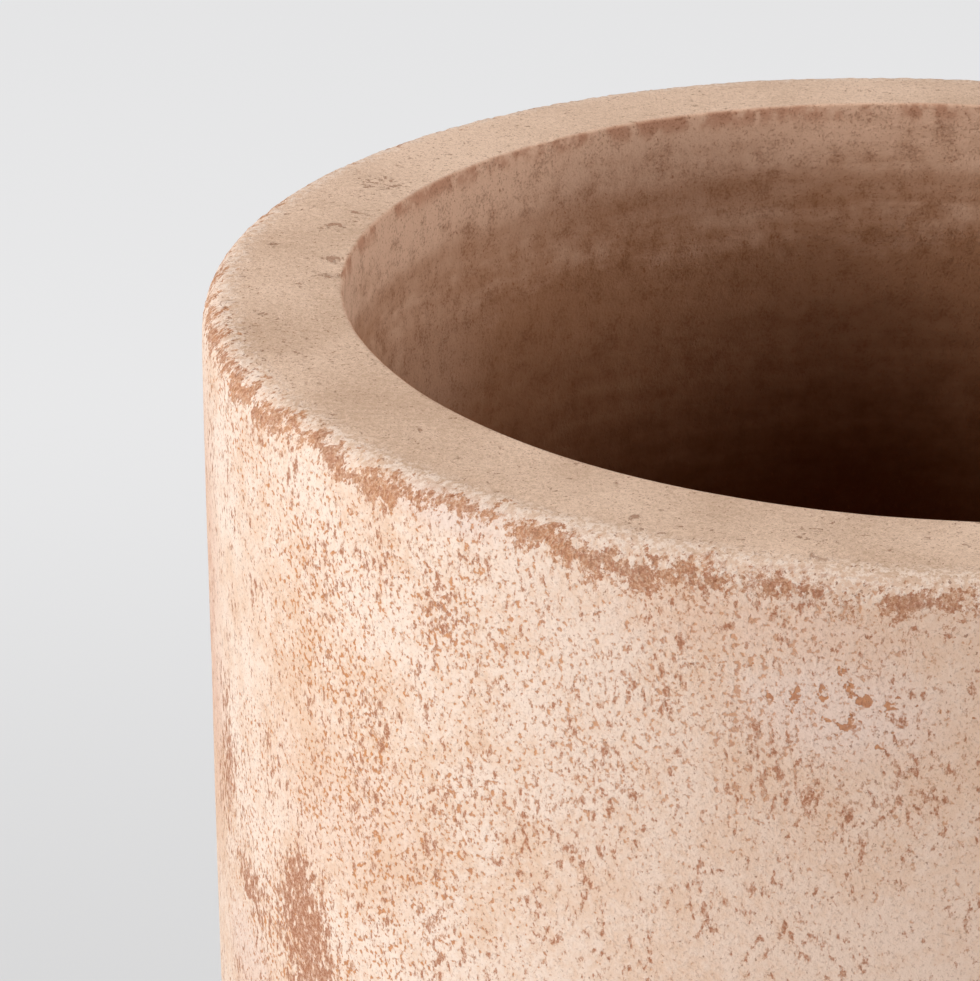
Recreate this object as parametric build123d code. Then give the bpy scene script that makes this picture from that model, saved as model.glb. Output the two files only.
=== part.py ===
"""Thick-walled clay cylinder planter, standing on four rubber pads, with a pull-out drain plug.

The pot is one piece of fired clay, so it is a turned profile: a nearly straight outside that
narrows a little towards the foot, a flat rim with a soft outer and a crisp inner edge, an inside
wall with shallow finger grooves left by throwing, a coved floor that falls to one drain hole, and
a shallow recess under the base.  The plug and the pads are moulded rubber.

Millimetres, +Z up.  The origin is on the ground under the middle of the pot.
"""

from build123d import *
from math import atan2, cos, radians, sin, tan
import os

# Clay pot: outside
rim_diameter = 400.0
base_diameter = 390.0
pot_height = 396.0
rim_outer_round = 9.0
rim_inner_round = 1.2
base_round = 8.0

# Clay pot: inside
wall_at_rim = 36.5
wall_at_floor = 41.0
floor_thickness = 34.0
floor_fall = 4.0
cove_round = 30.0

# Finger grooves on the inside wall
groove_pitch = 45.0
groove_width = 13.0
groove_depth = 0.8
first_groove_below_rim = 30.5
last_groove_above_cove = 12.0

# Drain hole and the flat seat round it
hole_diameter = 30.0
hole_edge_round = 2.0
seat_margin = 8.0
seat_blend_round = 12.0

# Recess under the base, inside the foot ring
foot_ring_width = 44.0
recess_depth = 3.0

# Drain plug: flange, ribbed stem and cored-out underside
flange_overlap = 8.0
flange_thickness = 4.0
flange_round = 1.4
plug_clearance = 0.1
rib_height = 1.2
rib_half_width = 1.6
rib_count = 3
rib_pitch = 6.5
first_rib_below_flange = 7.0
stem_short_of_recess = 2.0
stem_wall = 5.0
stem_tip_bevel = 1.0
plug_web = 8.0

# Pull loop that stands on the flange
loop_gap_width = 14.0
loop_gap_height = 11.0
loop_band = 5.0
loop_thickness = 6.0
loop_edge_round = 1.2

# Rubber floor pads
pad_count = 4
pad_first_angle = 45.0
pad_diameter = 24.0
pad_height = 4.0
pad_bevel = 1.0

# Heights above the ground
base_z = pad_height
rim_z = base_z + pot_height
recess_z = base_z + recess_depth
seat_z = base_z + floor_thickness
floor_edge_z = seat_z + floor_fall

# Radii
rim_radius = rim_diameter / 2
base_radius = base_diameter / 2
hole_radius = hole_diameter / 2
flange_radius = hole_radius + flange_overlap
seat_radius = flange_radius + seat_margin
recess_radius = base_radius - foot_ring_width


def outside_radius(z):
    """Radius of the outer wall at height z."""
    return base_radius + (rim_radius - base_radius) * (z - base_z) / pot_height


inside_rim_radius = rim_radius - wall_at_rim
inside_floor_radius = outside_radius(floor_edge_z) - wall_at_floor


def inside_radius(z):
    """Radius of the inner wall at height z, before the finger grooves."""
    share = (z - floor_edge_z) / (rim_z - floor_edge_z)
    return inside_floor_radius + (inside_rim_radius - inside_floor_radius) * share


def wall_point(z, groove=0.0):
    """Point of the inner wall's outline at height z, pushed outwards by a groove's depth."""
    return (inside_radius(z) + groove, 0, z)


def cove_top_z():
    """Height at which the cove between floor and wall runs out into the wall."""
    floor_slope = atan2(floor_fall, inside_floor_radius - seat_radius)
    wall_lean = atan2(inside_rim_radius - inside_floor_radius, rim_z - floor_edge_z)
    corner_angle = radians(90) + floor_slope + wall_lean
    return floor_edge_z + cove_round / tan(corner_angle / 2)


def groove_heights():
    """Heights of the finger grooves' middles, from the lowest up."""
    highest = rim_z - first_groove_below_rim
    lowest = cove_top_z() + last_groove_above_cove
    count = int((highest - lowest) / groove_pitch) + 1
    return [highest - index * groove_pitch for index in reversed(range(count))]


def clay_body():
    """The fired clay pot, turned in one piece: wall, rim, coved floor, drain hole and foot ring."""
    heights = groove_heights()
    half = groove_width / 2
    corners = [
        (inside_rim_radius, rim_z, rim_inner_round),
        (rim_radius, rim_z, rim_outer_round),
        (base_radius, base_z, base_round),
        (recess_radius, base_z, 0),
        (recess_radius - recess_depth, recess_z, 0),
        (hole_radius, recess_z, hole_edge_round),
        (hole_radius, seat_z, hole_edge_round),
        (seat_radius, seat_z, seat_blend_round),
        (inside_floor_radius, floor_edge_z, cove_round),
    ]
    points = [(radius, 0, z) for radius, z, _ in corners]
    rounds = [corner_round for _, _, corner_round in corners]
    wall_top = wall_point(heights[-1] + half)
    wall_bottom = wall_point(heights[0] - half)
    edges = FilletPolyline(wall_top, *points, wall_bottom, radius=rounds).edges()
    for z in heights:
        groove = ThreePointArc(wall_point(z - half), wall_point(z, groove_depth), wall_point(z + half))
        edges += groove.edges()
    for lower, upper in zip(heights, heights[1:]):
        edges += Line(wall_point(lower + half), wall_point(upper - half)).edges()
    return revolve(Face(Wire(edges)), Axis.Z)


def pull_loop():
    """Arched loop on top of the flange, its gap running along Y."""
    gap_radius = loop_gap_width / 2
    arch_radius = gap_radius + loop_band
    spring = loop_gap_height - gap_radius
    legs = Rectangle(2 * arch_radius, spring, align=(Align.CENTER, Align.MIN))
    face = legs + Pos(0, spring) * Circle(arch_radius)
    face -= Rectangle(loop_gap_width, spring, align=(Align.CENTER, Align.MIN))
    face -= Pos(0, spring) * Circle(gap_radius)
    face &= Rectangle(4 * arch_radius, 4 * arch_radius, align=(Align.CENTER, Align.MIN))
    loop = extrude(Plane.XZ * face, loop_thickness / 2, both=True)
    arch_edges = loop.edges().filter_by(GeomType.CIRCLE)
    return fillet(arch_edges, loop_edge_round)


def drain_plug():
    """Moulded stopper: flange on the seat, stem with sealing ribs in the hole, loop to pull it by."""
    rib_radius = hole_radius - plug_clearance
    stem_radius = rib_radius - rib_height
    core_radius = stem_radius - stem_wall
    stem_end_z = recess_z + stem_short_of_recess
    flange_z = seat_z + flange_thickness
    core_top_z = flange_z - plug_web

    plug = Pos(0, 0, seat_z) * Cylinder(
        flange_radius, flange_thickness, align=(Align.CENTER, Align.CENTER, Align.MIN)
    )
    plug = fillet(plug.edges().group_by(Axis.Z)[-1], flange_round)

    stem = Pos(0, 0, stem_end_z) * Cylinder(
        stem_radius, seat_z - stem_end_z, align=(Align.CENTER, Align.CENTER, Align.MIN)
    )
    stem = chamfer(stem.edges().group_by(Axis.Z)[0], stem_tip_bevel)
    plug += stem

    for index in range(rib_count):
        z = seat_z - first_rib_below_flange - index * rib_pitch
        rib = Polyline(
            (core_radius, 0, z - rib_half_width),
            (stem_radius, 0, z - rib_half_width),
            (rib_radius, 0, z),
            (stem_radius, 0, z + rib_half_width),
            (core_radius, 0, z + rib_half_width),
            close=True,
        )
        plug += revolve(Face(Wire(rib.edges())), Axis.Z)

    plug -= Pos(0, 0, stem_end_z) * Cylinder(
        core_radius, core_top_z - stem_end_z, align=(Align.CENTER, Align.CENTER, Align.MIN)
    )
    return plug + Pos(0, 0, flange_z) * pull_loop()


def floor_pad(index):
    """One round pad stuck flat to the middle of the foot ring."""
    ring_outer = base_radius - base_round
    pad_circle_radius = (recess_radius + ring_outer) / 2
    angle = radians(pad_first_angle + index * 360 / pad_count)
    pad = Cylinder(
        pad_diameter / 2, pad_height, align=(Align.CENTER, Align.CENTER, Align.MIN)
    )
    pad = chamfer(pad.edges().group_by(Axis.Z)[0], pad_bevel)
    return Pos(pad_circle_radius * cos(angle), pad_circle_radius * sin(angle), 0) * pad


os.makedirs("parts", exist_ok=True)
export_step(clay_body(), "parts/clay_body.step")
export_step(drain_plug(), "parts/drain_plug.step")
for pad_index in range(pad_count):
    export_step(floor_pad(pad_index), f"parts/floor_pad_{pad_index + 1}.step")
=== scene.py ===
# %% [markdown]
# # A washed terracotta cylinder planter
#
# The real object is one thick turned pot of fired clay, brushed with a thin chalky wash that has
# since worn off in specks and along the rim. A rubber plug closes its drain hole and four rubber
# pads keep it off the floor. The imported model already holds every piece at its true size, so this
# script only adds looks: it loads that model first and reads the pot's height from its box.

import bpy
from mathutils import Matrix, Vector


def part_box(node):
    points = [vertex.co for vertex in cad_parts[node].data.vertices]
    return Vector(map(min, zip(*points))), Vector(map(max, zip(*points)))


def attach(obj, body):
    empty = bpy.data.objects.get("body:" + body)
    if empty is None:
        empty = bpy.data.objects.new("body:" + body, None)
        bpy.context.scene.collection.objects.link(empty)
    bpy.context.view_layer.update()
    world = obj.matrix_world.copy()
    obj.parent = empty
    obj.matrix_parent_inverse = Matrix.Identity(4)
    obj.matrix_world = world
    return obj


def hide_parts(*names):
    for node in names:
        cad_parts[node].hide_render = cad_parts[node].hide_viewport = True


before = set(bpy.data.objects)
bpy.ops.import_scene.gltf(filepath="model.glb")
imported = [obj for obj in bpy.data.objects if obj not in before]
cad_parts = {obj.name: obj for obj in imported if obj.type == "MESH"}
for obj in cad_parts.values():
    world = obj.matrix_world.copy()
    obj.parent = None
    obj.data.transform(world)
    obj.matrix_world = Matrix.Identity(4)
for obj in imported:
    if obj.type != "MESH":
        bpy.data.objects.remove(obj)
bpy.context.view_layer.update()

from math import ceil, cos, pi, radians, sin, tan

import bpy
import numpy as np
from mathutils import Matrix, Vector, noise

MM = 0.001
print("nodes:", sorted(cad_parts))

# %% [markdown]
# ## The camera
#
# The photograph looks down on the near left of the rim through a long lens. A camera can be set by
# eye, or worked out from the outline of the rim, whose two circles and flat top give its place, its
# tilt and its focal length. This one was worked out that way, so it is three lengths, two angles
# and a focal length in pixels of a picture 981 pixels on its long side.

# %% Set up the camera
PICTURE_SIDE = 981
FOCAL_PIXELS = 4339
CAMERA_PLACE = Vector((-0.1228, -1.0848, 0.7826))
LOOK_DOWN = radians(22.18)
ROLL = radians(0.51)

camera = bpy.data.objects.new("camera", bpy.data.cameras.new("camera"))
bpy.context.scene.collection.objects.link(camera)
bpy.context.scene.camera = camera
camera.data.sensor_width = 36
camera.data.lens = FOCAL_PIXELS * camera.data.sensor_width / PICTURE_SIDE
camera.location = CAMERA_PLACE
tilt = Matrix.Rotation(pi / 2 - LOOK_DOWN, 3, "X") @ Matrix.Rotation(ROLL, 3, "Z")
camera.rotation_euler = tilt.to_euler()
camera.data.clip_start = 0.05
print("lens:", round(camera.data.lens, 1), "mm")

# %% [markdown]
# ## The outline of the pot
#
# A turned pot is one outline spun round an axis. The outline is written as corners: a radius and a
# height, the round worn onto that corner, and how far apart the rows of the mesh are on the run
# that follows. Rows are close together at the rim, where crumbling and chips need them, and far
# apart low on the walls. The sizes are the ones that the pot was built to, and the mouth's shift and
# squeeze are kept here for later: a real mouth is never quite in the middle.

# %% Outline corners
pot_low, pot_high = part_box("clay_body")
BASE = pot_low.z
RIM = pot_high.z
RIM_RADIUS = 200 * MM
BASE_RADIUS = 195 * MM
INSIDE_RIM_RADIUS = 163.5 * MM
FLOOR = 42 * MM
WALL_AT_FLOOR = 41 * MM
OUTSIDE_LEAN = (RIM_RADIUS - BASE_RADIUS) / (RIM - BASE)
INSIDE_FLOOR_RADIUS = BASE_RADIUS + OUTSIDE_LEAN * (FLOOR - BASE) - WALL_AT_FLOOR
SEAT = 38 * MM
SEAT_RADIUS = 31 * MM
HOLE_RADIUS = 15 * MM
RECESS = 7 * MM
RECESS_RADIUS = 151 * MM
RIM_ROUND = 9 * MM
INNER_ROUND = 1.2 * MM
RIM_ZONE = 12 * MM
MOUTH_SHIFT = Vector((1.1, 1.4, 0)) * MM
MOUTH_SQUEEZE = 0.4 * MM

corners = [
    # radius, height, round, row spacing on the round, row spacing on the run after it
    (SEAT_RADIUS, SEAT, 12 * MM, 2 * MM, 9 * MM),
    (INSIDE_FLOOR_RADIUS, FLOOR, 30 * MM, 6 * MM, 6.8 * MM),
    (INSIDE_RIM_RADIUS - 0.3 * MM, RIM - RIM_ZONE, 0, 0, 2.2 * MM),
    (INSIDE_RIM_RADIUS, RIM, INNER_ROUND, 0.5 * MM, 2.0 * MM),
    (RIM_RADIUS, RIM, RIM_ROUND, 1.3 * MM, 1.6 * MM),
    (RIM_RADIUS - 0.2 * MM, RIM - 1.3 * RIM_ZONE, 0, 0, 10 * MM),
    (BASE_RADIUS, BASE, 8 * MM, 2 * MM, 6 * MM),
    (RECESS_RADIUS, BASE, 0, 0, 2.2 * MM),
    (RECESS_RADIUS - 3 * MM, RECESS, 0, 0, 18 * MM),
    (HOLE_RADIUS, RECESS, 2 * MM, 0.8 * MM, 4 * MM),
    (HOLE_RADIUS, SEAT, 2 * MM, 0.8 * MM, 3 * MM),
]


def between(start, end, spacing):
    """Points from start towards end, without the last, about spacing apart."""
    count = max(1, ceil((end - start).length / spacing))
    return [start.lerp(end, index / count) for index in range(count)]


def rounded_corner(before, corner, after, size, spacing):
    """Points of the arc of radius size that rounds a corner, both ends included."""
    if size == 0:
        return [corner]
    back = (before - corner).normalized()
    ahead = (after - corner).normalized()
    half_angle = back.angle(ahead) / 2
    reach = size / tan(half_angle)
    centre = corner + (back + ahead).normalized() * size / sin(half_angle)
    start = corner + back * reach - centre
    end = corner + ahead * reach - centre
    turn = start.angle_signed(end)
    count = max(2, ceil(abs(turn) * size / spacing))
    spin = [Matrix.Rotation(-turn * index / count, 2) for index in range(count + 1)]
    return [centre + matrix @ start for matrix in spin]


def turned_outline():
    """The closed outline as (radius, height) points: floor, inside wall, rim, outside, foot, hole."""
    places = [Vector(row[:2]) for row in corners]
    arcs = []
    for index, row in enumerate(corners):
        before = places[index - 1]
        after = places[(index + 1) % len(places)]
        arcs.append(rounded_corner(before, places[index], after, row[2], row[3] or MM))
    outline = []
    for index, row in enumerate(corners):
        following = arcs[(index + 1) % len(arcs)]
        outline += arcs[index][:-1]
        outline += between(arcs[index][-1], following[0], row[4])
    return outline


outline = turned_outline()
print("outline rows:", len(outline))

# %% [markdown]
# ## Marks left by making and use
#
# A real pot is never a true turning. Fingers leave shallow grooves inside, the rim is wiped a
# little uneven, its outer corner crumbles and a few chips break from the edges. These are real
# hollows of a tenth of a millimetre to a millimetre, so they go into the mesh: each point of the
# turned surface is pushed into the clay by the sum of them. The outside is never pushed outwards, so
# the pot keeps its size. The mouth alone is moved: it is a little narrow and off centre, as a hand
# leaves it. Smaller grit, under the mesh's own spacing, is left to the finish.

# %% Relief of the clay
GROOVE_WIDTH = 13 * MM
GROOVE_DEPTH = 0.8 * MM
GROOVE_PITCH = 45 * MM
TOP_GROOVE = RIM - 30.5 * MM
LOWEST_GROOVE = FLOOR + 40 * MM

groove_count = int((TOP_GROOVE - LOWEST_GROOVE) / GROOVE_PITCH) + 1
groove_heights = [TOP_GROOVE - index * GROOVE_PITCH for index in range(groove_count)]


def on_pot(turn, radius, height):
    """A point given by its angle round the pot in degrees from +X, its radius and its height."""
    return Vector((radius * cos(radians(turn)), radius * sin(radians(turn)), height))


def rough(place, size, octaves=3):
    """Soft random height from about -1 to 1 whose lumps are about size across."""
    return noise.fractal(place / size, 0.9, 2.1, octaves)


chips = [
    # angle, radius, height, reach, depth: the chip that shows on the inner edge, then lesser ones
    (178.0, INSIDE_RIM_RADIUS, RIM, 5.0 * MM, 1.0 * MM),
    (174.5, INSIDE_RIM_RADIUS + 2 * MM, RIM, 3.0 * MM, 0.5 * MM),
    (164.6, INSIDE_RIM_RADIUS + 5 * MM, RIM, 4.5 * MM, 0.35 * MM),
    (170.0, 184 * MM, RIM, 3.0 * MM, 0.35 * MM),
    (152.0, 175 * MM, RIM, 6.0 * MM, 0.2 * MM),
]
LESSER_CHIPS = 14
INNER_EDGE_SHARE = 0.6
chip_random = np.random.default_rng(12)
for _ in range(LESSER_CHIPS):
    on_inner_edge = chip_random.random() < INNER_EDGE_SHARE
    edge_radius = INSIDE_RIM_RADIUS if on_inner_edge else RIM_RADIUS - 2 * MM
    turn = chip_random.uniform(-80, 145)
    reach = (3 * MM if on_inner_edge else 4 * MM) * chip_random.uniform(0.6, 1.3)
    chips.append((turn, edge_radius, RIM, reach, 0.6 * MM))
chip_places = [(on_pot(*chip[:3]), chip[3], chip[4]) for chip in chips]


def groove_relief(radius, height):
    """Depth of the finger grooves on the inside wall."""
    if radius > INSIDE_RIM_RADIUS + MM or height < FLOOR + 30 * MM:
        return 0.0
    offset = min(abs(height - middle) for middle in groove_heights) / (GROOVE_WIDTH / 2)
    return GROOVE_DEPTH * max(0.0, 1 - offset**2)


def corner_crumble(place, radius, height):
    """Depth of the crumbling along the rim's outer corner."""
    down = max(0.0, RIM - RIM_ROUND - height)
    over = max(0.0, RIM_RADIUS - RIM_ROUND - radius)
    if height < RIM - 3 * RIM_ROUND or radius < RIM_RADIUS - 2 * RIM_ROUND:
        return 0.0
    share = max(0.0, 1 - (down + over) / (0.9 * RIM_ROUND))
    grit = abs(rough(place, 4.5 * MM)) + 0.6 * abs(rough(place, 2.2 * MM))
    return share * (0.12 + 0.55 * grit) * MM


def chip_relief(place, height):
    """Depth of the chips near a point of the rim."""
    if height < RIM - RIM_ZONE:
        return 0.0
    depth = 0.0
    for middle, reach, deepest in chip_places:
        near = (place - middle).length / reach
        if near < 1.3:
            near += 0.25 * rough(place, 1.8 * MM)
            depth = max(depth, deepest * min(1.0, max(0.0, 1.4 * (1 - near))))
    return depth


def relief(place, radius, height):
    """How far the worn clay lies below the true turning at a point."""
    if radius < SEAT_RADIUS + 6 * MM or height <= BASE + 6 * MM:
        return 0.0
    sway = 0.22 * MM * (1 + rough(place, 75 * MM, 2))
    ripple = 0.06 * MM * (1 + rough(Vector((place.x, place.y, 4 * place.z)), 30 * MM))
    worn = corner_crumble(place, radius, height) + chip_relief(place, height)
    return sway + ripple + groove_relief(radius, height) + worn


def mouth_offset(across, radius, height):
    """How far a point moves so that the mouth is a little narrow and off the pot's centre."""
    share = min(1.0, max(0.0, (RIM_RADIUS - 14 * MM - radius) / (14 * MM)))
    share *= min(1.0, max(0.0, (height - FLOOR - 40 * MM) / (120 * MM)))
    return (MOUTH_SHIFT - across * MOUTH_SQUEEZE) * share


print("grooves:", groove_count, "chips:", len(chips))

# %% [markdown]
# ## Spinning the outline into a mesh
#
# Blender's Screw modifier would spin the outline with the same number of columns everywhere, which
# wastes faces round the small drain hole and starves the rim. Here each row gets its own number of
# columns, and where it halves, three triangles join one wide step to two narrow ones. That keeps
# the mesh closed, which a solid pot must be.

# %% Build the pot
FINE_COLUMNS = 960


def columns_at(point):
    """Number of columns of a row: more at the rim, fewer near the middle of the pot."""
    radius, height = point
    outside_zone = radius > INSIDE_RIM_RADIUS + MM and height > RIM - 1.35 * RIM_ZONE
    if outside_zone or height > RIM - RIM_ZONE:
        return FINE_COLUMNS
    if radius > 120 * MM:
        return FINE_COLUMNS // 2
    return FINE_COLUMNS // 4 if radius > 45 * MM else FINE_COLUMNS // 8


def join_rows(first, second):
    """Faces between two rows of point numbers, whose lengths are equal or differ by a whole factor."""
    if len(first) == len(second):
        return list(zip(second, second[1:] + second[:1], first[1:] + first[:1], first))
    if len(first) < len(second):
        return [tuple(reversed(face)) for face in join_rows(second, first)]
    factor = len(first) // len(second)
    faces = []
    for index, here in enumerate(second):
        beyond = second[(index + 1) % len(second)]
        fine = [first[(index * factor + step) % len(first)] for step in range(factor + 1)]
        for step in range(factor):
            faces.append((fine[step + 1], fine[step], here if step < factor / 2 else beyond))
        faces.append((beyond, fine[(factor + 1) // 2], here))
    return faces


def spun_pot():
    """The pot's mesh: rows of points round the axis, pushed in by the relief."""
    points = []
    rows = []
    for index, point in enumerate(outline):
        ahead = outline[(index + 1) % len(outline)]
        along = ahead - outline[index - 1]
        inward = Vector((along.y, -along.x)).normalized()
        count = columns_at(point)
        row = []
        for column in range(count):
            turn = 2 * pi * column / count
            across = Vector((cos(turn), sin(turn), 0))
            place = across * point.x + Vector((0, 0, point.y))
            push = across * inward.x + Vector((0, 0, inward.y))
            row.append(len(points))
            points.append(place + push * relief(place, *point) + mouth_offset(across, *point))
        rows.append(row)
    faces = []
    for first, second in zip(rows, rows[1:] + rows[:1]):
        faces += join_rows(first, second)
    mesh = bpy.data.meshes.new("turned_clay_pot")
    mesh.from_pydata([tuple(point) for point in points], [], faces)
    mesh.polygons.foreach_set("use_smooth", [True] * len(mesh.polygons))
    mesh.validate()
    return mesh


pot = bpy.data.objects.new("turned_clay_pot", spun_pot())
bpy.context.scene.collection.objects.link(pot)
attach(pot, "pot")
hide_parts("clay_body")
print("pot faces:", len(pot.data.polygons), "points:", len(pot.data.vertices))

# %% [markdown]
# ## A way to write finishes
#
# Every finish here is maths on the place of each point: noise, distances and thresholds. Built with
# Blender's nodes by hand that soon turns into a tangle, so one small class wraps a node's output
# and lets it be added, multiplied and compared like a number. Each operator adds one Math node.
# Colours go through Mix nodes instead, because a Math node would turn them grey. Every other node
# comes from one method of the recipe that holds the material.

# %% Shader readings and recipes


class Reading:
    """A value that flows through a finish: a number, a colour or a vector from a node's output."""

    def __init__(self, recipe, socket):
        self.recipe = recipe
        self.socket = socket

    def math(self, operation, *others):
        """One Math node on this value and the others."""
        inputs = dict(enumerate((self, *others)))
        return self.recipe.node("ShaderNodeMath", {"operation": operation}, inputs)

    def __add__(self, other):
        return self.math("ADD", other)

    __radd__ = __add__

    def __mul__(self, other):
        return self.math("MULTIPLY", other)

    __rmul__ = __mul__

    def __sub__(self, other):
        return self.math("SUBTRACT", other)

    def __rsub__(self, other):
        return self.recipe.node("ShaderNodeMath", {"operation": "SUBTRACT"}, {0: other, 1: self})

    def __abs__(self):
        return self.math("ABSOLUTE")

    def at_least(self, other):
        """The larger of two values."""
        return self.math("MAXIMUM", other)

    def at_most(self, other):
        """The smaller of two values."""
        return self.math("MINIMUM", other)

    def ramp(self, low, high):
        """0 below low, 1 above high, and a soft step in between. Low may be the larger one."""
        settings = {"interpolation_type": "SMOOTHSTEP"}
        inputs = {"Value": self, "From Min": low, "From Max": high}
        return self.recipe.node("ShaderNodeMapRange", settings, inputs)


class Recipe:
    """A finish being mixed: a material or a world, its node tree and the ways nodes join it."""

    def __init__(self, owner):
        self.owner = owner
        owner.use_nodes = True
        self.tree = owner.node_tree
        self.tree.nodes.clear()
        self.place = self.node("ShaderNodeTexCoord", output="Object")

    def node(self, kind, settings=None, inputs=None, output=0):
        """Adds a node, with its settings first and then its sockets' values or links."""
        node = self.tree.nodes.new(kind)
        for key, value in (settings or {}).items():
            setattr(node, key, value)
        for key, value in (inputs or {}).items():
            if isinstance(value, Reading):
                self.tree.links.new(value.socket, node.inputs[key])
            else:
                node.inputs[key].default_value = value
        return None if output is None else Reading(self, node.outputs[output])

    def vector(self, operation, *inputs, output=0):
        """One Vector Math node."""
        settings = {"operation": operation}
        return self.node("ShaderNodeVectorMath", settings, dict(enumerate(inputs)), output)

    def split(self, vector):
        """The three numbers of a vector."""
        return [self.node("ShaderNodeSeparateXYZ", {}, {0: vector}, axis) for axis in range(3)]

    def mix(self, first, second, share):
        """The first colour where share is 0 and the second where it is 1."""
        return self.node("ShaderNodeMix", {"data_type": "RGBA"}, {0: share, 6: first, 7: second}, 2)

    def cloud(self, size, detail=2.0, roughness=0.5, where=None, distortion=0.0):
        """Noise about 0.5 whose lumps are about size across, in metres."""
        inputs = {"Vector": where or self.place, "Scale": 1 / size, "Detail": detail}
        inputs |= {"Roughness": roughness, "Distortion": distortion}
        return self.node("ShaderNodeTexNoise", {}, inputs)

    def stretched(self, x, y, z):
        """The object's coordinates scaled along each axis: below 1 draws marks out along it."""
        return self.vector("MULTIPLY", self.place, (x, y, z))

    def surface(self, colour, **sockets):
        """Closes the finish with a Principled surface."""
        shader = self.node("ShaderNodeBsdfPrincipled", {}, {"Base Color": colour, **sockets})
        self.node("ShaderNodeOutputMaterial", {}, {"Surface": shader}, None)
        return self.owner

    def bump(self, height):
        """A Bump node whose height is in metres."""
        return self.node("ShaderNodeBump", {}, {"Strength": 1.0, "Distance": 1.0, "Height": height})


def colour(red, green, blue):
    """A colour as read off a screen, 0 to 255 a channel, in the linear values that shaders take."""
    channels = [value / 255 for value in (red, green, blue)]
    linear = [c / 12.92 if c <= 0.04045 else ((c + 0.055) / 1.055) ** 2.4 for c in channels]
    return (*linear, 1.0)


print("colour of fresh wash:", [round(value, 3) for value in colour(240, 218, 198)])

# %% [markdown]
# ## Where on the pot a point lies
#
# Wear follows the shape: it sits on the rim's corner, runs down the wall, and stops at the mouth.
# So the finish first works out two lengths measured along the clay's surface. One starts where the
# rim's flat top begins to turn down outside, the other where it begins to turn down inside. Both
# are negative on the flat top. They need no texture map, so nothing shows a seam.

# %% Measures along the surface
HAIR = 0.01 * MM


def along_turning(over, below, size):
    """Length along a rounded corner: over and below are the distances past each end of its arc."""
    arc = (over.at_least(0.0)).math("ARCTAN2", (below * -1).at_least(HAIR)) * size
    return over.at_most(0.0) + arc + below.at_least(0.0)


def measures(recipe):
    """Radius, depth below the rim, length past the outer corner's start and past the inner one's."""
    flat = recipe.vector("MULTIPLY", recipe.place, (1, 1, 0))
    radius = recipe.vector("LENGTH", flat, output="Value")
    off_centre = recipe.vector("SUBTRACT", flat, MOUTH_SHIFT)
    from_mouth = recipe.vector("LENGTH", off_centre, output="Value")
    depth = RIM - recipe.split(recipe.place)[2]
    outer = along_turning(radius - (RIM_RADIUS - RIM_ROUND), depth - RIM_ROUND, RIM_ROUND)
    mouth_edge = INSIDE_RIM_RADIUS - MOUTH_SQUEEZE + INNER_ROUND
    inner = along_turning(mouth_edge - from_mouth, depth - INNER_ROUND, INNER_ROUND)
    return radius, depth, outer, inner


def patch(recipe, turn, radius, height, wide, tall):
    """A soft spot on the clay: 1 in its middle, 0 outside its half width and half height."""
    offset = recipe.vector("SUBTRACT", recipe.place, on_pot(turn, radius, height))
    share = recipe.vector("MULTIPLY", offset, (1 / wide, 1 / wide, 1 / tall))
    return recipe.vector("LENGTH", share, output="Value").ramp(1.0, 0.25)


def drift(recipe, places):
    """The sum of several patches, each times its own strength."""
    total = 0.0
    for *spot, strength in places:
        total = patch(recipe, *spot) * strength + total
    return total


corner_arc = pi / 2 * RIM_ROUND
print("clay round the outer corner:", round(corner_arc / MM, 1), "mm")

# %% [markdown]
# ## Colours of the clay
#
# The wash is chalk white where it lies thick and cream where it is thin, with a lilac bloom of salt
# in places, and painted shade gives it a duller tone on the side away from the window. Bare clay runs
# from orange in a fresh speck to rust and brown where it is rubbed, and the inside goes from sand at
# the lip to dark brown, partly damp clay and partly painted shade of the deep mouth.
# The colours were matched by trial against the photograph. They are written as a screen shows them
# and turned into the linear values that shaders take.

# %% Clay colours
CHALK = colour(249, 228, 213)
CREAM = colour(236, 203, 178)
LILAC = colour(240, 216, 206)
# painted shade: the wash's duller tone on the side away from the window
SIDE_SHADE_TONE = colour(224, 188, 166)
SAND = colour(208, 174, 148)
PALE_SAND = colour(246, 214, 190)
ORANGE = colour(212, 142, 88)
BROWN = colour(188, 144, 118)
INSIDE_SAND = colour(222, 182, 156)
INSIDE_TAN = colour(174, 126, 94)
# damp clay and painted shade: the dark brown deep in the mouth
INSIDE_DAMP_AND_SHADE = colour(112, 64, 32)
WORN_LIP = colour(184, 130, 102)
PIT = colour(142, 88, 56)
ROSE = colour(226, 180, 156)
RUST = colour(174, 108, 76)
print("chalk:", [round(value, 3) for value in CHALK], "bare clay:", [round(value, 3) for value in ORANGE])
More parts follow.
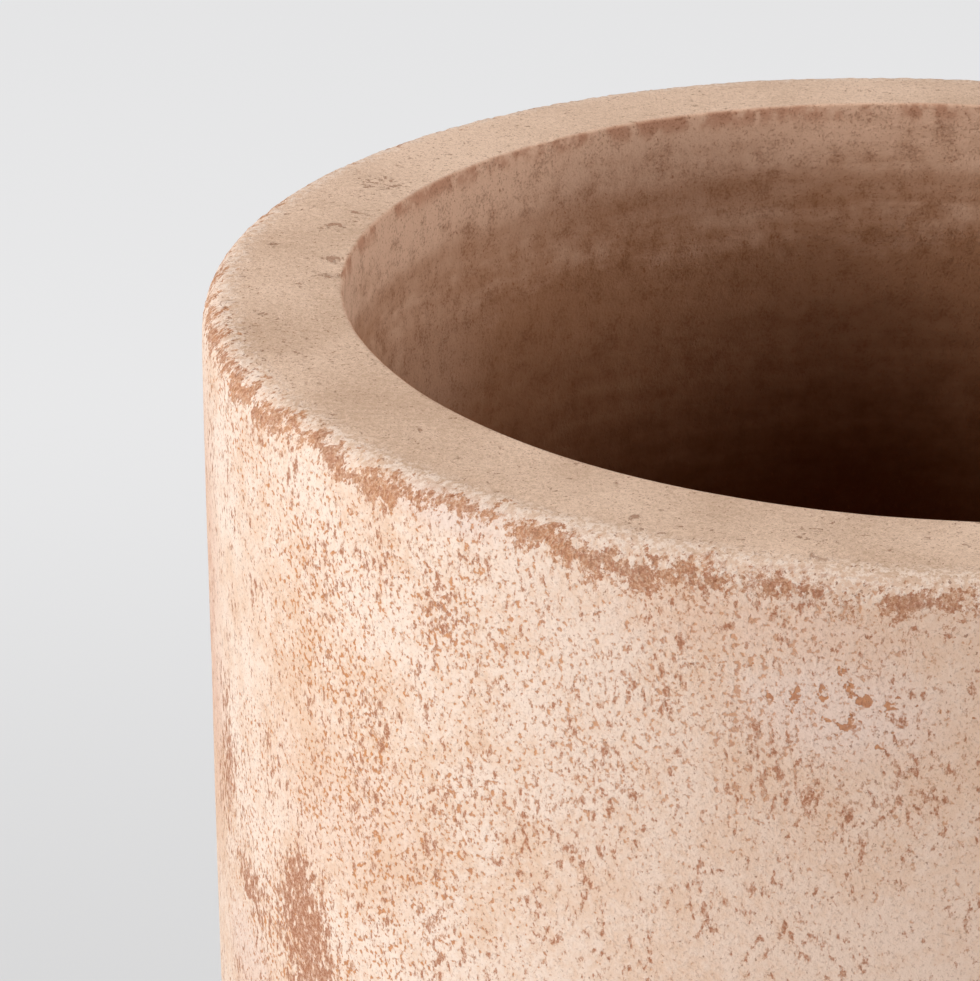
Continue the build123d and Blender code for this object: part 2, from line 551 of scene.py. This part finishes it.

# %% [markdown]
# ## Where the clay has worn and changed
#
# Noise alone would wear the pot evenly, and no real pot wears so. The photograph shows drifts of specks, a
# quiet patch low on the right, smears low on the left and marks on the rim. Each one is written as a
# soft patch with its own angle, place and strength, and a negative strength keeps the wash whole.
# The noise then decides what happens inside a patch, so nothing has a drawn edge. Some patches are
# painted shade or painted light instead of wear: the darker side away from the window, the pinker left
# edge of the wall, the lighter back of the rim, and a lighter and a darker place inside the mouth.

# %% Patches of wear, painted shade and painted light
speck_drifts = [
    # angle, radius, height, half width, half height, how much of the wash has gone there
    (-143, RIM_RADIUS, RIM - 34 * MM, 54 * MM, 46 * MM, 1.0),
    (-129, RIM_RADIUS, RIM - 24 * MM, 36 * MM, 30 * MM, 0.9),
    (-143, RIM_RADIUS, RIM - 60 * MM, 30 * MM, 12 * MM, 1.0),
    (-109, RIM_RADIUS, RIM - 50 * MM, 10 * MM, 34 * MM, 0.9),
    (-138, RIM_RADIUS, RIM - 95 * MM, 50 * MM, 34 * MM, 0.75),
    (-148, RIM_RADIUS, RIM - 102 * MM, 14 * MM, 7 * MM, 1.4),
    (-141, RIM_RADIUS, RIM - 132 * MM, 40 * MM, 30 * MM, 0.9),
    (-118, RIM_RADIUS, RIM - 40 * MM, 30 * MM, 40 * MM, 0.4),
    (-147, RIM_RADIUS, RIM - 67 * MM, 27 * MM, 2.5 * MM, 0.7),
    (-172, RIM_RADIUS, RIM - 60 * MM, 60 * MM, 70 * MM, -1.1),
    (-104, RIM_RADIUS, RIM - 118 * MM, 95 * MM, 62 * MM, -1.3),
]
large_flakes = [
    (-102, RIM_RADIUS, RIM - 32 * MM, 34 * MM, 15 * MM, 1.15),
]
lilac_bloom = [
    (-103, RIM_RADIUS, RIM - 34 * MM, 34 * MM, 18 * MM, 0.6),
    (-132, RIM_RADIUS - 2 * MM, RIM - 4 * MM, 34 * MM, 8 * MM, 0.7),
    (-160, RIM_RADIUS, RIM - 166 * MM, 30 * MM, 20 * MM, 0.5),
]
# the first patch is painted shade, a pinker and darker tone along the left edge of the wall; the other two
# are rosy tone in the wash
rosy_spots_and_edge_shade = [
    (-173, RIM_RADIUS, RIM - 85 * MM, 32 * MM, 85 * MM, 0.85),
    (-143, RIM_RADIUS, RIM - 100 * MM, 50 * MM, 30 * MM, 0.25),
    (-108, RIM_RADIUS, RIM - 16 * MM, 50 * MM, 12 * MM, 0.3),
]
# painted light: the back of the rim's flat top made lighter
rim_back_light = [
    (145, 182 * MM, RIM, 110 * MM, 20 * MM, 1.0),
]
pitted_side = [
    (-165, RIM_RADIUS, RIM - 60 * MM, 60 * MM, 110 * MM, 1.0),
    (-172, RIM_RADIUS - 6 * MM, RIM, 90 * MM, 9 * MM, 0.8),
]
# painted shade: the side of the wall away from the window is darkened
painted_shade_side = [
    (-88, RIM_RADIUS, RIM - 60 * MM, 180 * MM, 260 * MM, 1.0),
]
sagging_band = [
    (-98, RIM_RADIUS, RIM - 8 * MM, 110 * MM, 60 * MM, 1.0),
]
smears = [
    (-149, RIM_RADIUS, RIM - 142 * MM, 22 * MM, 34 * MM, 1.0),
    (-159, RIM_RADIUS, RIM - 143 * MM, 26 * MM, 13 * MM, 0.65),
    (-166, RIM_RADIUS, RIM - 118 * MM, 18 * MM, 30 * MM, 0.5),
]
# painted light: a lighter place on the left of the inside wall
inside_light_patch = [
    (153, INSIDE_RIM_RADIUS, RIM - 52 * MM, 50 * MM, 42 * MM, 0.3),
]
# painted shade: a darker place below the lip at the back of the mouth
inside_shade_patch = [
    (117, INSIDE_RIM_RADIUS, RIM - 20 * MM, 70 * MM, 26 * MM, 0.2),
]
rim_marks = [
    (178.0, INSIDE_RIM_RADIUS + 2 * MM, RIM, 5.5 * MM, 5.5 * MM, 1.0),
    (173.5, INSIDE_RIM_RADIUS + 3 * MM, RIM, 5.0 * MM, 5.0 * MM, 0.9),
    (164.5, INSIDE_RIM_RADIUS + 8 * MM, RIM, 7.0 * MM, 7.0 * MM, 0.95),
    (160.5, INSIDE_RIM_RADIUS + 6 * MM, RIM, 5.0 * MM, 5.0 * MM, 0.9),
    (170.0, 185 * MM, RIM, 3.5 * MM, 3.5 * MM, 1.0),
    (152.0, 175 * MM, RIM, 12.0 * MM, 12.0 * MM, 0.8),
    (241.0, 184 * MM, RIM, 2.5 * MM, 2.5 * MM, 1.2),
    (255.0, 190 * MM, RIM, 3.0 * MM, 3.0 * MM, 1.2),
]
patch_lists = [
    speck_drifts, large_flakes, lilac_bloom, rosy_spots_and_edge_shade, rim_back_light, pitted_side, painted_shade_side,
    sagging_band, smears, inside_light_patch, inside_shade_patch, rim_marks,
]
print("patches of wear:", sum(len(places) for places in patch_lists))

# %% [markdown]
# ## Specks, the worn band and smears
#
# Where the wash has gone, orange brown clay shows: as specks of about a millimetre with a few larger
# flakes, as a crumbling band a little below the rim's corner, and as brown smears drawn down the
# wall. They could be painted, but paint holds one view only. Here each kind is a threshold on noise:
# fine noise gives the ragged edge, broad noise lets the band wander and break, and the patches raise
# or lower the threshold.

# %% Ways the wash wears
SPECK_SIZE = 1.3 * MM
FLAKE_SIZE = 3.8 * MM
BAND_BELOW = 8.0 * MM
BAND_SAG = 3.8 * MM
BAND_SWAY = 16 * MM
BAND_HALF_WIDTH = 7.0 * MM


def worn_specks(recipe, side_shade):
    """Share of clay laid bare by specks a millimetre across, fainter on the side in painted shade, and by
    flakes.
    """
    spread = recipe.cloud(60 * MM, 2) - 0.5
    level = 0.605 - spread * 0.3 - drift(recipe, speck_drifts) * 0.07
    fine = (recipe.cloud(SPECK_SIZE, 2, 0.5) - level).ramp(-0.03, 0.095)
    flakes = recipe.cloud(FLAKE_SIZE, 3, 0.6) + drift(recipe, large_flakes) * 0.14
    return (fine * (1 - side_shade * 0.3)).at_least((flakes - 0.73).ramp(0.0, 0.04))


def worn_corner(recipe, outer):
    """The band along the rim's outer corner where the wash has crumbled away."""
    sway = recipe.cloud(38 * MM, 2) - 0.5
    clumps = recipe.cloud(7 * MM, 2) - 0.5
    crumbs = recipe.cloud(2.0 * MM, 4, 0.7) - 0.5
    sag = drift(recipe, sagging_band)
    off_middle = abs(outer - BAND_BELOW - sag * BAND_SAG - sway * BAND_SWAY)
    across = 1 - off_middle * (1 / BAND_HALF_WIDTH)
    band = across.at_least(-0.8) * 0.55 - sag * 0.03
    return (band + sway * 0.8 + clumps * 1.6 + crumbs * 2.4).ramp(0.29, 0.5)


def worn_smears(recipe):
    """Brown smears low on the left, drawn out down the wall."""
    streaks = recipe.cloud(1.9 * MM, 4, 0.66, recipe.stretched(1, 1, 0.6))
    broad = recipe.cloud(12 * MM, 2, 0.5, recipe.stretched(1, 1, 0.5)) - 0.5
    return (streaks * 1.4 + broad * 0.5 + drift(recipe, smears) * 0.28).ramp(0.78, 0.93)


print("specks of", SPECK_SIZE / MM, "mm, flakes of", FLAKE_SIZE / MM, "mm")

# %% [markdown]
# ## The inside
#
# The inside was never washed evenly. It is sandy at the lip, tan below and dark brown far down, which
# is partly damp clay and partly painted shade of the deep mouth, with darker mottling, faint lines left
# by the fingers and a painted shade along the top finger groove. A straight gradient would look
# printed, so the depth that drives the colours is first bent by noise, some of it drawn out round the pot.

# %% Inside clay


def inside_clay(recipe, depth, soft, blotch, grain):
    """Bare clay inside the mouth: sandy at the top, tan below and dark brown far down, partly damp clay
    and partly painted shade.
    """
    lines = recipe.cloud(9 * MM, 3, 0.6, recipe.stretched(0.3, 0.3, 2.0))
    mottle = recipe.cloud(6 * MM, 3.5, 0.62)
    reach = depth + (soft * 0.4 + blotch * 0.4 + lines * 0.5 + mottle * 0.5 - 0.9) * (64 * MM)
    clay = recipe.mix(INSIDE_SAND, INSIDE_TAN, reach.ramp(2 * MM, 50 * MM))
    # painted shade: the clay darkens with depth, partly its own colour and partly shade in the deep mouth
    clay = recipe.mix(clay, INSIDE_DAMP_AND_SHADE, reach.ramp(28 * MM, 140 * MM))
    lip = depth.ramp(8.0 * MM, 2.0 * MM) * (blotch * 0.7 + mottle * 0.3).ramp(0.44, 0.56)
    groove_shade = abs(depth - 23 * MM - lines * (6 * MM)).ramp(8 * MM, 2 * MM)
    clay = recipe.mix(clay, WORN_LIP, lip * 0.7)
    clay = recipe.mix(clay, INSIDE_TAN, groove_shade * 0.45)
    # painted light on the left of the inside wall
    clay = recipe.mix(clay, INSIDE_SAND, drift(recipe, inside_light_patch))
    # painted shade below the lip at the back of the mouth
    clay = recipe.mix(clay, INSIDE_DAMP_AND_SHADE, drift(recipe, inside_shade_patch))
    return recipe.mix(clay, INSIDE_DAMP_AND_SHADE, (mottle * 0.5 + grain * 0.5).ramp(0.49, 0.66) * 0.4)


# the deep colour is damp clay and painted shade together
print("damp clay at", round(INSIDE_DAMP_AND_SHADE[0] / INSIDE_SAND[0], 2), "of the lip's red")

# %% [markdown]
# ## The washed clay
#
# The wash is a chalky coat about a tenth of a millimetre thick, so the whole pot is one finish: a
# coat, bare clay where the coat has gone, the inside, and then small pits and the grain of sand over
# everything. It could be several materials with borders between them, but a border would show, and
# these shares of 0 to 1 blend as the real surface does. Only the grain, the mealy skin and the edge
# of the coat go into the bump, all under half a millimetre.

# %% Washed clay


def wash_coat(recipe, outer, side_shade, mealy, grain, blotch, soft, pitted):
    """The coat itself: chalky on the wall, darker with painted shade on the side away from the window,
    sandy on the rim's flat top and pale along its edge.
    """
    smooth_left = pitted.at_most(1.0).at_least(0.0)
    chalky = mealy * (0.35 - smooth_left * 0.2) + smooth_left * 0.1
    thick = (chalky + blotch * 0.3 + soft * 0.4 + pitted * 0.03).ramp(0.42, 0.63)
    wash = recipe.mix(CREAM, CHALK, thick)
    # painted shade: the wash darkens on the side away from the window
    wash = recipe.mix(wash, SIDE_SHADE_TONE, side_shade * 0.5)
    # rose tone in the wash, and painted shade along the left edge of the wall
    rosy_and_edge_shade = drift(recipe, rosy_spots_and_edge_shade) * (0.3 + blotch.ramp(0.38, 0.62) * 0.6)
    wash = recipe.mix(wash, ROSE, rosy_and_edge_shade)
    wash = recipe.mix(wash, LILAC, drift(recipe, lilac_bloom))
    # painted light: the back of the rim's flat top is lighter
    sandy = mealy * 0.2 + grain * 0.45 + soft * 0.35 + drift(recipe, rim_back_light) * 0.1
    rim_sand = recipe.mix(SAND, PALE_SAND, sandy.ramp(0.4, 0.62))
    return recipe.mix(rim_sand, wash, outer.ramp(0.0, 9.0 * MM))


def bare_clay(recipe, rubbed, smear, side_shade, mealy, grain, blotch):
    """Clay without its wash: orange in specks, browner where it is rubbed and rusty in smears, and browner
    and rustier with painted shade on the side away from the window.
    """
    # painted shade also makes bare clay browner and rustier on the side away from the window
    worn = rubbed * 0.45 + blotch.ramp(0.38, 0.7) * 0.3 + side_shade * 0.2
    rusty = mealy.ramp(0.46, 0.62) * 0.45 + side_shade * 0.25
    bare = recipe.mix(ORANGE, BROWN, worn)
    bare = recipe.mix(bare, RUST, rusty + (0.75 - rusty) * smear)
    bare = recipe.mix(bare, PALE_SAND, grain.ramp(0.5, 0.62) * rubbed * 0.5)
    return recipe.mix(bare, PIT, grain.ramp(0.47, 0.36) * rubbed * 0.5)


def washed_clay():
    """Chalky wash over fired clay, worn off in specks, smears and along the rim's corner."""
    recipe = Recipe(bpy.data.materials.new("washed_clay"))
    radius, depth, outer, inner = measures(recipe)
    grain = recipe.cloud(0.8 * MM, 2, 0.7)
    mealy = recipe.cloud(1.8 * MM, 3, 0.6)
    blotch = recipe.cloud(10 * MM, 3, 0.6)
    soft = recipe.cloud(48 * MM, 3)
    pitted = drift(recipe, pitted_side)
    # painted shade: where the side away from the window is darkened
    side_shade = drift(recipe, painted_shade_side)

    in_mouth = inner.ramp(-0.6 * MM, 1.6 * MM) * radius.ramp(186 * MM, 180 * MM)
    on_top = outer.ramp(2 * MM, -2 * MM) * (1 - in_mouth)
    edge = outer.ramp(-4 * MM, 3 * MM) * outer.ramp(15 * MM, 8 * MM)

    coat = wash_coat(recipe, outer, side_shade, mealy, grain, blotch, soft, pitted)
    coat = recipe.mix(coat, CHALK, edge * (mealy * 0.6 + grain * 0.4).ramp(0.46, 0.56) * 0.8)
    smear = worn_smears(recipe) * outer.ramp(0.0, 9.0 * MM)
    rubbed = worn_corner(recipe, outer).at_least(smear)
    specks = worn_specks(recipe, side_shade) * outer.ramp(2 * MM, 9 * MM)
    bare_share = specks.at_least(rubbed)
    bare = bare_clay(recipe, rubbed, smear, side_shade, mealy, grain, blotch)
    outside = recipe.mix(coat, bare, bare_share * 0.92)
    body = recipe.mix(outside, inside_clay(recipe, depth, soft, blotch, grain), in_mouth)

    scars = recipe.cloud(2.4 * MM, 4, 0.7) + drift(recipe, rim_marks) * 0.15
    marks = scars.ramp(0.62, 0.68) * on_top
    pores = recipe.cloud(1.2 * MM, 3, 0.6, recipe.stretched(1, 1, 0.75))
    pits = (pores + pitted * 0.035 + edge * 0.03).ramp(0.65, 0.72)
    body = recipe.mix(body, PIT, pits.at_least(marks * 0.8) * 0.7)
    body = recipe.mix(body, PIT, grain.ramp(0.54, 0.7) * (0.3 + on_top * 0.3))

    gritty = grain * (0.2 * MM + rubbed * (0.2 * MM)) + mealy * (0.35 * MM)
    lost_coat = bare_share * (1 - in_mouth) * (0.12 * MM) + marks * (0.15 * MM)
    bump = recipe.bump(gritty - lost_coat)
    return recipe.surface(body, Roughness=0.92, Normal=bump, **{"Specular IOR Level": 0.2})


pot.data.materials.append(washed_clay())
print("washed clay nodes:", len(pot.data.materials[0].node_tree.nodes))

# %% [markdown]
# ## The rubber plug and pads
#
# The plug and the pads come straight from the imported model and need no new shape. A plain grey
# would look like plastic, so the plug's rubber is a warm dark grey with dust settled on the faces
# that look up, faint moulding swirls and a fine pebbled skin. The pads are a harder, blacker rubber,
# finished the same way.

# %% Rubber


def rubber(name, dark, light, dust, dust_share, pebble):
    """Moulded rubber: swirls of two tones, dust on the upward faces and a pebbled skin."""
    recipe = Recipe(bpy.data.materials.new(name))
    swirl = recipe.cloud(9 * MM, 4, 0.6, distortion=1.2)
    speckle = recipe.cloud(pebble, 3, 0.6)
    facing = recipe.split(recipe.node("ShaderNodeNewGeometry", output="Normal"))[2]
    settled = facing.ramp(0.2, 0.95) * (swirl * 0.6 + speckle * 0.4).ramp(0.36, 0.62) * dust_share
    body = recipe.mix(dark, light, swirl.ramp(0.35, 0.65))
    body = recipe.mix(body, dust, settled)
    rough = 0.55 + speckle * 0.2 + settled * 0.3
    bump = recipe.bump(speckle * (0.12 * MM))
    return recipe.surface(body, Roughness=rough, Normal=bump, **{"Specular IOR Level": 0.35})


def dress(node, finish):
    """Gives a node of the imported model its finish."""
    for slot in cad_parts[node].material_slots:
        slot.material = finish
    print(node, "has", len(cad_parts[node].material_slots), "finish")


plug_tones = colour(52, 46, 42), colour(70, 62, 56), colour(150, 122, 100)
pad_tones = colour(34, 33, 32), colour(48, 46, 44), colour(120, 108, 96)
dress("drain_plug", rubber("plug_rubber", *plug_tones, 0.32, 1.1 * MM))
pad_finish = rubber("pad_rubber", *pad_tones, 0.3, 0.8 * MM)
for pad in sorted(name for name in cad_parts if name.startswith("floor_pad")):
    dress(pad, pad_finish)

# %% [markdown]
# ## The pale floor
#
# The photograph's background is an even, very pale grey that darkens a little towards the bottom. A
# floor lit by the lamps alone would carry pools of light, and more light would bleach the clay. So
# the camera sees mostly a plain grey glow, a little darker near by, mixed with enough of the lit
# floor to keep the pot's shadow. Every other ray meets plain grey paint, which throws soft light up.

# %% Floor
FLOOR_GREY = colour(226, 227, 228)
NEAR_GREY = colour(217, 217, 218)
FAR_GREY = colour(240, 240, 241)
FLOOR_REACH = 9.0
GLOW_SHARE = 0.85

unit_square = [(-1, -1, 0), (1, -1, 0), (1, 1, 0), (-1, 1, 0)]
floor_corners = [Vector(corner) * FLOOR_REACH for corner in unit_square]
floor_mesh = bpy.data.meshes.new("floor")
floor_mesh.from_pydata(floor_corners, [], [(0, 1, 2, 3)])
floor = bpy.data.objects.new("floor", floor_mesh)
bpy.context.scene.collection.objects.link(floor)

ground = Recipe(bpy.data.materials.new("pale_floor"))
seen_directly = ground.node("ShaderNodeLightPath", output="Is Camera Ray")
far = ground.split(ground.place)[1].ramp(0.2, 1.0)
lit = ground.node("ShaderNodeBsdfDiffuse", {}, {"Color": FLOOR_GREY})
glow_colour = ground.mix(NEAR_GREY, FAR_GREY, far)
glow = ground.node("ShaderNodeEmission", {}, {"Color": glow_colour, "Strength": 1.0})
blend = ground.node("ShaderNodeMixShader", {}, {0: seen_directly * GLOW_SHARE, 1: lit, 2: glow})
ground.node("ShaderNodeOutputMaterial", {}, {"Surface": blend}, None)
floor_mesh.materials.append(ground.owner)
print("floor:", 2 * FLOOR_REACH, "m across")

# %% [markdown]
# ## The studio light
#
# The light comes from a wide window on the left, level with the rim, which is why the left of the
# wall is bright and the inside falls into shade. A broad, dim lamp fills the front, one on the right
# reaches the far inside of the mouth, and one above lifts the rim's flat top. Big lamps give the soft
# shadows of a room. The air around adds a trace of light, and a camera that looks past the floor's
# edge sees a pale backdrop.

# %% Lamps and backdrop
AIM = Vector((0, 0, 0.35))
NEUTRAL = (1.0, 0.99, 0.97)
WINDOW = (1.0, 0.985, 0.96)
AIR = (0.93, 0.95, 1.0, 1.0)
AIR_STRENGTH = 0.06
BACKDROP_STRENGTH = 0.85

lamps = [
    # name, angle round the pot, angle above the ground, distance, size in metres, watts, tint
    ("window_light", -157, 20, 1.8, 0.8, 24.0, WINDOW),
    ("front_fill", -85, 8, 2.4, 1.4, 7.0, NEUTRAL),
    ("right_fill", -14, 15, 2.4, 1.4, 44.0, NEUTRAL),
    ("overhead", 120, 66, 1.8, 0.8, 12.0, NEUTRAL),
]


def area_light(name, turn, rise, distance, size, power, tint):
    """A square soft light that looks at the rim from an angle round the pot and above the ground."""
    data = bpy.data.lights.new(name, "AREA")
    data.shape = "SQUARE"
    data.size = size
    data.energy = power
    data.color = tint
    lamp = bpy.data.objects.new(name, data)
    bpy.context.scene.collection.objects.link(lamp)
    away = on_pot(turn, cos(radians(rise)), sin(radians(rise)))
    lamp.location = AIM + away * distance
    lamp.rotation_euler = away.to_track_quat("Z", "Y").to_euler()
    lamp.visible_camera = False


for lamp_row in lamps:
    area_light(*lamp_row)

air = Recipe(bpy.data.worlds.new("studio"))
around = air.node("ShaderNodeBackground", {}, {"Color": AIR, "Strength": AIR_STRENGTH})
backdrop = air.node("ShaderNodeBackground", {}, {"Color": NEAR_GREY, "Strength": BACKDROP_STRENGTH})
to_camera = air.node("ShaderNodeLightPath", output="Is Camera Ray")
studio = air.node("ShaderNodeMixShader", {}, {0: to_camera, 1: around, 2: backdrop})
air.node("ShaderNodeOutputWorld", {}, {"Surface": studio}, None)
bpy.context.scene.world = air.owner
bpy.context.scene.view_settings.view_transform = "Standard"
print("lamps:", len(lamps))
